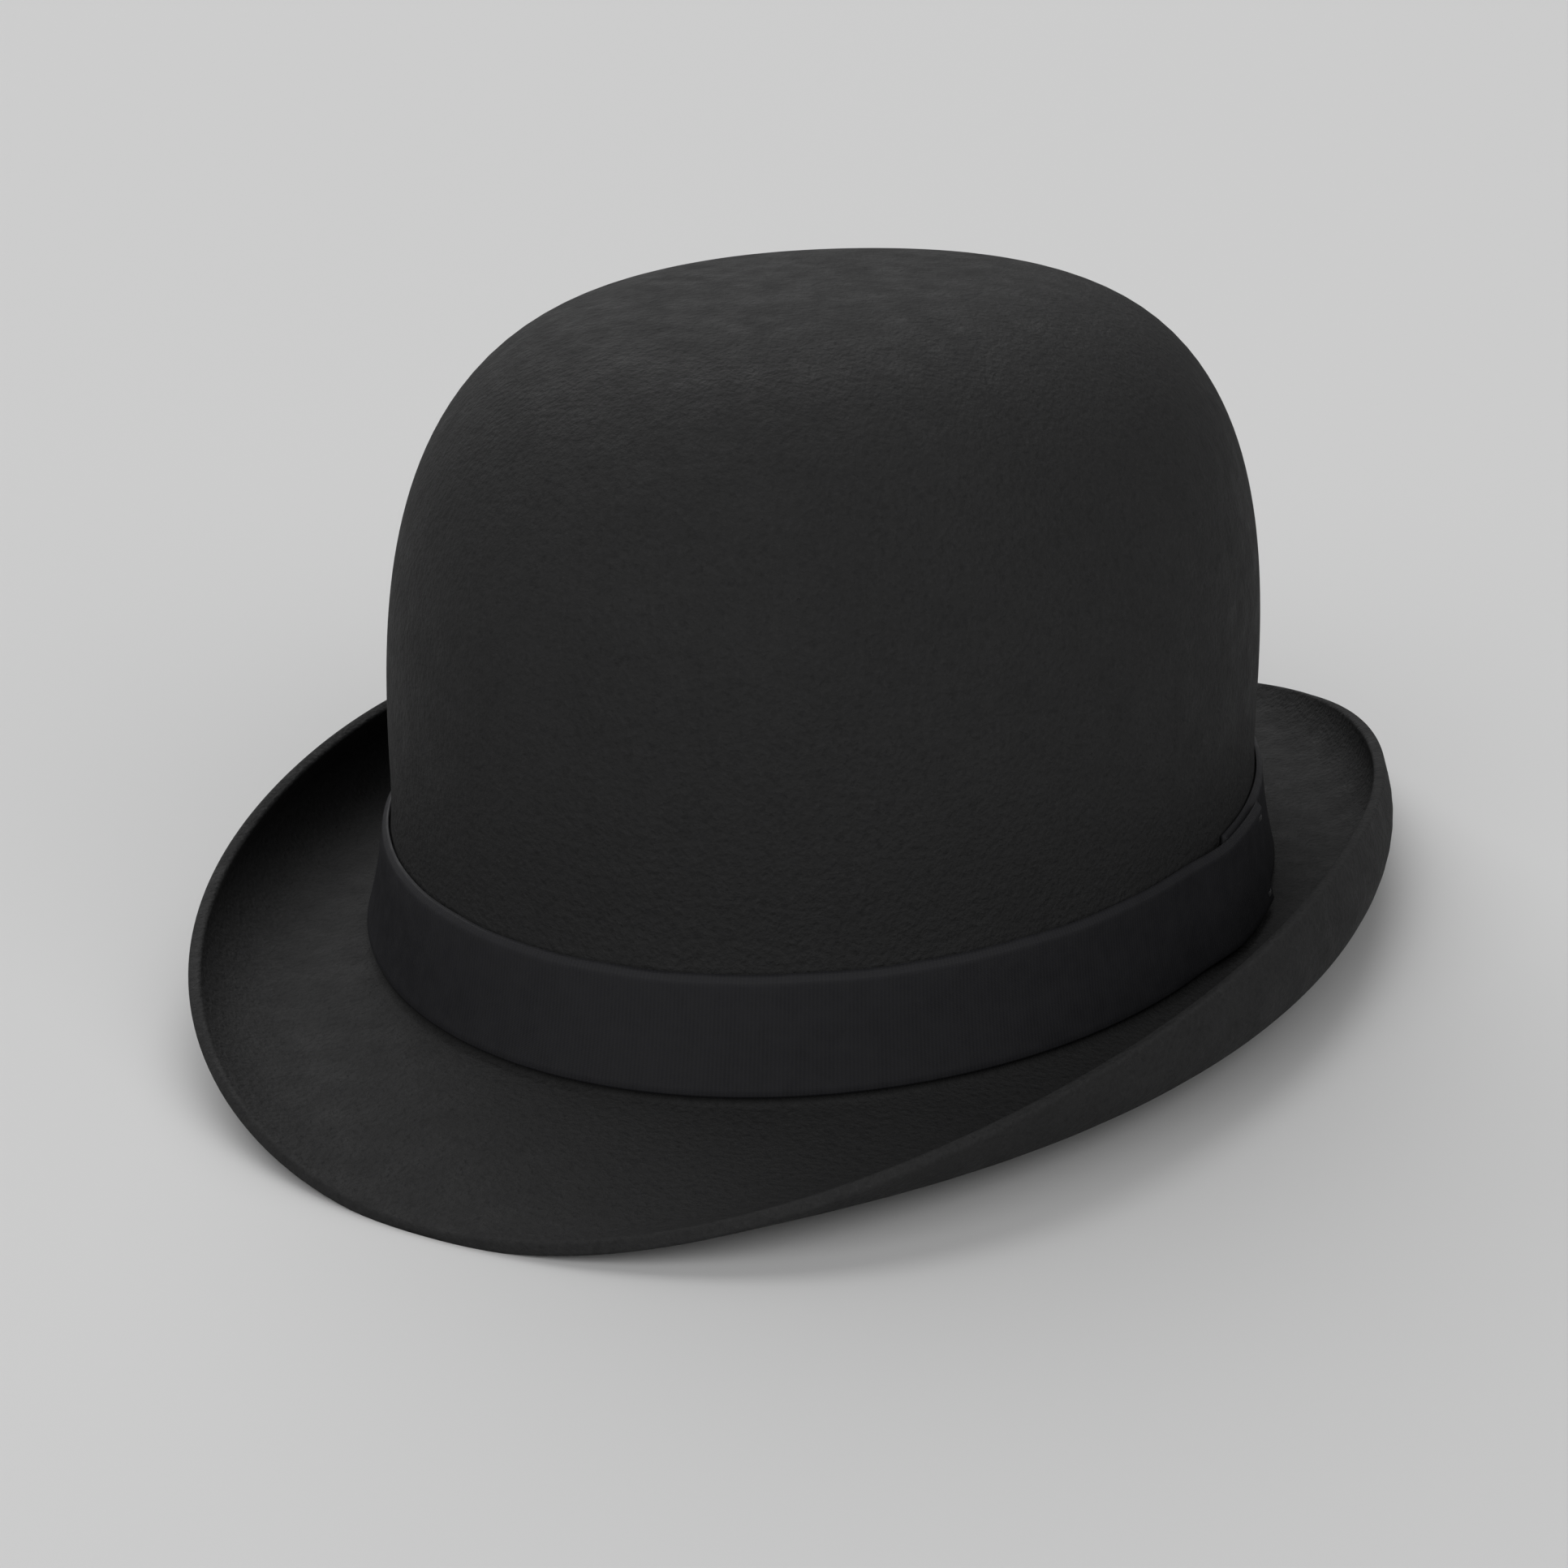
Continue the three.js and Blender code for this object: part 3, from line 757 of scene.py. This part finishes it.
def make_bow_loops():
    """Two flat loops of narrow ribbon, gathered where they meet."""
    b = Builder()
    for way in (1, -1):
        rings = []
        for u in steps(0, 1, 40):
            # u runs out along the back of the loop, round its end, and home along its front
            out = 1 - abs(2 * u - 1) ** 2.4
            # the ribbon is gathered at the knot and opens to its full width on the way out
            x = way * (0.3 + BOW_REACH * out)
            swell = 0.25 + 0.75 * smooth(out * 1.25)
            depth = 0.2 + 1.15 * smooth((u - 0.5) * 3.2 + 0.5) * (0.55 + 0.45 * swell)
            half = 1.25 + 2.2 * smooth(out * 1.15)
            ring = []
            for z, thick in [(v, 0.0) for v in steps(-1, 1, 8)] + [(v, BOW_CLOTH) for v in steps(1, -1, 8)]:
                pleat = 0.22 * math.cos(z * 7.5) * (1 - swell)
                ring.append(bow_point(x + thick * 0.4 * way * (u - 0.5), depth + thick + pleat, z * half))
            rings.append(ring)
        b.loft(rings, caps=True)
    b.make("bow_ribbon_loops", GROSGRAIN_LOOK, "bow_loops")


def make_bow_knot():
    """A short wrap of the same ribbon over the middle of the bow, creased where it is pulled tight."""
    b = Builder()
    rings = []
    for x in steps(-KNOT_HALF, KNOT_HALF, 12):
        edge = (1 - abs(x / (KNOT_HALF + 0.05)) ** 4) ** 0.5
        ring = []
        for a in turn(28):
            crease = 1 + 0.05 * math.sin(3 * a + x * 3.4) * edge
            depth = KNOT_DEPTH + (0.22 + 0.5 * edge) * math.cos(a) * crease
            ring.append(bow_point(x, depth, KNOT_RISE * (0.72 + 0.28 * edge) * math.sin(a) * crease))
        rings.append(ring)
    b.loft(rings, caps=True)
    b.make("bow_ribbon_knot", GROSGRAIN_LOOK, "bow_knot")


# ---------------------------------------------------------------- the lining
PLEATS = 84
PLEAT_DEPTH = 1.25
PLEAT_STEPS = 8  # faces across one pleat
SEAM_GAP = 0.003  # how far each piece of satin stops short of the seam, as a share of the waist's radius
LINING_ROWS = (40, 34)
TIP_PULL = 0.35  # how far the tip sinks towards its seam, here and there


def make_lining_side():
    """The satin side band, flat under the sweatband and drawn into small pleats towards the tip's seam."""
    b = Builder()
    edge = SEAM_K + SEAM_GAP
    rows = [(k, rise) for k, rise in dome_rows(*LINING_ROWS) if k > edge + SEAM_GAP][::-1]
    rows.append((edge, dome_rise(edge)))
    rings = []
    for t in turn(PLEATS * PLEAT_STEPS):
        low = steps(fold_z(t) + LINING_FROM, WAIST_Z, 4)[:-1]
        fold = 0.5 + 0.5 * math.sin(PLEATS * t + 0.7 * math.sin(5 * t))
        out = [wall(t, LINING_OUT, z) for z in low]
        inn = [wall(t, LINING_IN, z) for z in low]
        for k, rise in rows:
            # the pleats grow towards the seam and are pressed flat beside it
            gather = smooth((rise - 0.22) / 0.6) * (1 - 0.7 * smooth((rise - 0.81) / 0.04))
            dip = -PLEAT_DEPTH * fold**1.5 * gather
            out.append(dome(t, LINING_OUT + dip, k, rise))
            inn.append(dome(t, LINING_IN + dip, k, rise))
        rings.append(out + inn[::-1])
    b.loft(rings, wrap=True)
    piece = b.make("lining_side_satin", SATIN_LOOK, "lining_side")


def make_lining_tip():
    """The oval satin tip, with a faint pull towards its seam."""
    b = Builder()
    edge = SEAM_K - SEAM_GAP
    rows = [(k, rise) for k, rise in dome_rows(*LINING_ROWS) if k < edge - SEAM_GAP]
    rows.append((edge, dome_rise(edge)))
    rings = []
    for t in turn(ROUND_STEPS):
        out, inn = [], []
        for k, rise in rows:
            pull = -TIP_PULL * (k / SEAM_K) ** 3 * (0.5 + 0.5 * math.sin(37 * t + 2 * math.sin(3 * t)))
            out.append(dome(t, LINING_OUT + pull, k, rise))
            inn.append(dome(t, LINING_IN + pull, k, rise))
        rings.append(out + inn[::-1])
    poles = [Vector((0, 0, WAIST_Z + DOME + off)) * MM for off in (LINING_OUT, LINING_IN)]
    b.loft(rings, wrap=True, shut=False, poles=poles)
    piece = b.make("lining_tip_satin", SATIN_LOOK, "lining_tip")


TWISTS, TWIST_STEPS = 92, 10  # turns of the strands once round, and faces along one turn
STRAND_R = GIMP_R * 0.52


def make_gimp():
    """Two twisted strands that cover the seam between the lining's side and its tip."""
    b = Builder()
    off = LINING_IN - CLEAR - GIMP_R * 1.15
    up = Vector((0, 0, 1))
    for start in (0.0, math.pi):
        rings = []
        for t in turn(TWISTS * TWIST_STEPS):
            centre = dome(t, off, SEAM_K, dome_rise(SEAM_K))
            out = Vector((centre.x, centre.y, 0)).normalized()
            a = TWISTS * t + start
            middle = centre + (out * math.cos(a) + up * math.sin(a)) * (GIMP_R - STRAND_R) * MM
            rings.append(circle(middle, out, up, STRAND_R))
        b.loft(rings, wrap=True)
    b.make("gimp_cord", GIMP_LOOK, "lining_gimp")


# ---------------------------------------------------------------- stage, light and camera
FLOOR_SIZE = 24.0  # metres
WORLD_STRENGTH = 0.14
# name, azimuth, elevation, strength and width in degrees: azimuth 0 is in front of the hat, 90 at its left
SUNS = (("overhead", -135, 48, 1.9, 60), ("fill", -8, 42, 1.1, 55), ("key", 70, 38, 0.8, 50))


def make_stage():
    m = Nodes("floor", (0.615, 0.615, 0.615), 0.95, Specular_IOR_Level=0.1)
    mesh = bpy.data.meshes.new("floor")
    h = FLOOR_SIZE / 2
    mesh.from_pydata([(-h, -h, 0), (h, -h, 0), (h, h, 0), (-h, h, 0)], [], [(0, 1, 2, 3)])
    mesh.materials.append(m.material)
    floor = bpy.data.objects.new("floor", mesh)
    bpy.context.scene.collection.objects.link(floor)


def direction(azimuth, elevation):
    """From the hat outwards, with the angles in degrees."""
    a, e = math.radians(azimuth), math.radians(elevation)
    return Vector((math.sin(a) * math.cos(e), -math.cos(a) * math.cos(e), math.sin(e)))


def sun(name, azimuth, elevation, strength, spread):
    light = bpy.data.lights.new(name, "SUN")
    light.energy = strength
    light.angle = math.radians(spread)
    lamp = bpy.data.objects.new(name, light)
    lamp.rotation_mode = "QUATERNION"
    lamp.rotation_quaternion = direction(azimuth, elevation).to_track_quat("Z", "Y")
    bpy.context.scene.collection.objects.link(lamp)


def make_light():
    world = bpy.data.worlds.new("studio")
    world.use_nodes = True
    background = world.node_tree.nodes["Background"]
    background.inputs["Color"].default_value = (1, 1, 1, 1)
    background.inputs["Strength"].default_value = WORLD_STRENGTH
    bpy.context.scene.world = world
    for lamp in SUNS:
        sun(*lamp)
    bpy.context.scene.view_settings.view_transform = "Standard"


# fitted to the picture: angles in degrees, distance and target in metres, lens in mm
CAMERA = {"azimuth": 26.0, "elevation": 21.43, "distance": 0.505, "lens": 54.07,
          "target": (-0.0125, 0.0007, 0.01957)}


def make_camera():
    data = bpy.data.cameras.new("camera")
    data.sensor_width = 36
    data.lens = CAMERA["lens"]
    camera = bpy.data.objects.new("camera", data)
    away = direction(CAMERA["azimuth"], CAMERA["elevation"])
    camera.location = Vector(CAMERA["target"]) + away * CAMERA["distance"]
    camera.rotation_mode = "QUATERNION"
    camera.rotation_quaternion = away.to_track_quat("Z", "Y")
    bpy.context.scene.collection.objects.link(camera)
    bpy.context.scene.camera = camera


make_camera()
make_stage()
make_light()
make_felt()
make_ribbon()
make_tack("ribbon_tack_upper_stitches", "ribbon_tack_upper", RIBBON_WIDTH - TACK_EDGE)
make_tack("ribbon_tack_lower_stitches", "ribbon_tack_lower", TACK_EDGE)
make_sweatband()
make_reed()
make_sweat_stitches()
make_tape()
make_back_seam()
make_bow_loops()
make_bow_knot()
make_lining_side()
make_lining_tip()
make_gimp()
